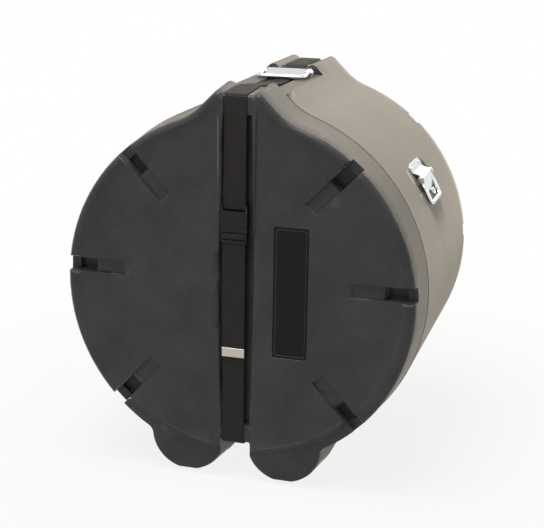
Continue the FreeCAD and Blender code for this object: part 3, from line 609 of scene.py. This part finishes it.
# %% Bail handles
for side in ("top", "right", "left"):
    rounded_part(side + "_handle_plate", chrome, "base", 0.5)
    rounded_part(side + "_handle_pin", chrome, "base", 0.4)
    rounded_part(side + "_handle_bail", chrome, "bail_" + side, 0.4)
    rounded_part(side + "_handle_rivets", chrome, "base", 0.3)

# %% [markdown]
# ## Floor and light
# A catalogue picture stands the object on a seamless white ground. The camera, and what
# mirrors the ground, see it as white paper that keeps part of the shadow near the object.
# Every other ray sees plain pale paper, so the ground throws no more light on the object
# than paper would.


# %% White ground
FLOOR_REACH = 60.0


def seen_as_backdrop(tree):
    """One for a ray from the camera, a mirror or glass, and nought for falling light."""
    path = add_node(tree, "ShaderNodeLightPath").outputs
    mirrored = add_node(tree, "ShaderNodeMath", {"operation": "MAXIMUM"},
                        _0=path["Is Glossy Ray"], _1=path["Is Transmission Ray"])
    seen = add_node(tree, "ShaderNodeMath", {"operation": "MAXIMUM"},
                    _0=path["Is Camera Ray"], _1=mirrored.outputs["Value"])
    return seen.outputs["Value"]


def white_ground():
    shape = bmesh.new()
    bmesh.ops.create_grid(shape, x_segments=8, y_segments=8, size=FLOOR_REACH)
    mesh = bpy.data.meshes.new("floor")
    shape.to_mesh(mesh)
    shape.free()
    floor = bpy.data.objects.new("floor", mesh)
    bpy.context.scene.collection.objects.link(floor)
    material, tree = new_material("white_paper")
    paper = add_node(tree, "ShaderNodeBsdfDiffuse", Color=linear("#cac9c6"))
    glow = add_node(tree, "ShaderNodeEmission", Color=linear("#ffffff"), Strength=1.0)
    place = add_node(tree, "ShaderNodeTexCoord").outputs["Object"]
    far = add_node(tree, "ShaderNodeVectorMath", {"operation": "LENGTH"}, _0=place)
    glare = add_node(tree, "ShaderNodeMapRange", {"interpolation_type": "SMOOTHSTEP"},
                     Value=far.outputs["Value"], From_Min=0.4, From_Max=1.2,
                     To_Min=0.86, To_Max=1.0)
    share = add_node(tree, "ShaderNodeMath", {"operation": "MULTIPLY"},
                     _0=seen_as_backdrop(tree), _1=glare.outputs["Result"])
    mix = add_node(tree, "ShaderNodeMixShader", Fac=share.outputs["Value"],
                   _1=paper.outputs["BSDF"], _2=glow.outputs["Emission"])
    add_node(tree, "ShaderNodeOutputMaterial", Surface=mix.outputs["Shader"])
    mesh.materials.append(material)
    print("laid", floor.name)


white_ground()

# %% [markdown]
# The light comes from large panels: one behind, which the tub's side mirrors at a shallow
# angle, weaker ones at the right and in front, and a strong one overhead. So the side turns
# a warm grey while the lid's face stays dark, as in the picture.


# %% Lamps and sky
MIDDLE = Vector((0.0, 0.0, 0.34))


def panel(name, place, size, power, colour):
    lamp = bpy.data.lights.new(name, "AREA")
    lamp.shape = "SQUARE"
    lamp.size = size
    lamp.energy = power
    lamp.color = linear(colour)[:3]
    holder = bpy.data.objects.new(name, lamp)
    holder.location = place
    holder.rotation_euler = (MIDDLE - Vector(place)).to_track_quat("-Z", "Y").to_euler()
    bpy.context.scene.collection.objects.link(holder)


panel("back_panel", (0.8, 3.6, 2.6), 3.0, 60.0, "#fff0d8")
panel("right_panel", (3.4, 1.6, 0.8), 2.4, 16.0, "#fff0d8")
panel("top_panel", (-0.3, -0.6, 3.2), 1.8, 110.0, "#ffffff")
panel("front_panel", (-1.4, -3.0, 2.8), 2.0, 26.0, "#f8f9ff")

world = bpy.data.worlds.new("studio")
bpy.context.scene.world = world
world.use_nodes = True
world.node_tree.nodes.clear()
room = add_node(world.node_tree, "ShaderNodeBackground",
                Color=linear("#eceef0"), Strength=0.15)
paper = add_node(world.node_tree, "ShaderNodeBackground",
                 Color=linear("#ffffff"), Strength=1.0)
sky = add_node(world.node_tree, "ShaderNodeMixShader", Fac=seen_as_backdrop(world.node_tree),
               _1=room.outputs["Background"], _2=paper.outputs["Background"])
add_node(world.node_tree, "ShaderNodeOutputWorld", Surface=sky.outputs["Shader"])
print("lamps set")

# %% [markdown]
# ## Camera
# The picture was taken from the right of the lid and a little above, with a long lens.
# The camera's place and directions come from matching the case's outline.


# %% Camera
FOCAL_LENGTH = 86.03
SENSOR_WIDTH = 36.0
CAMERA_PLACE = (0.6356, -2.2050, 0.9761)
CAMERA_FORWARD = (-0.2693, 0.9233, -0.2739)
CAMERA_UP = (-0.0921, 0.2584, 0.9616)


def place_camera():
    lens = bpy.data.cameras.new("camera")
    lens.sensor_fit = "HORIZONTAL"
    lens.sensor_width = SENSOR_WIDTH
    lens.lens = FOCAL_LENGTH
    lens.clip_end = 200.0
    camera = bpy.data.objects.new("camera", lens)
    forward = Vector(CAMERA_FORWARD).normalized()
    right = forward.cross(Vector(CAMERA_UP)).normalized()
    up = right.cross(forward)
    turn = Matrix((right, up, -forward)).transposed().to_4x4()
    camera.matrix_world = Matrix.Translation(CAMERA_PLACE) @ turn
    bpy.context.scene.collection.objects.link(camera)
    bpy.context.scene.camera = camera
    print("camera at", CAMERA_PLACE)


place_camera()
bpy.context.scene.view_settings.view_transform = "Standard"
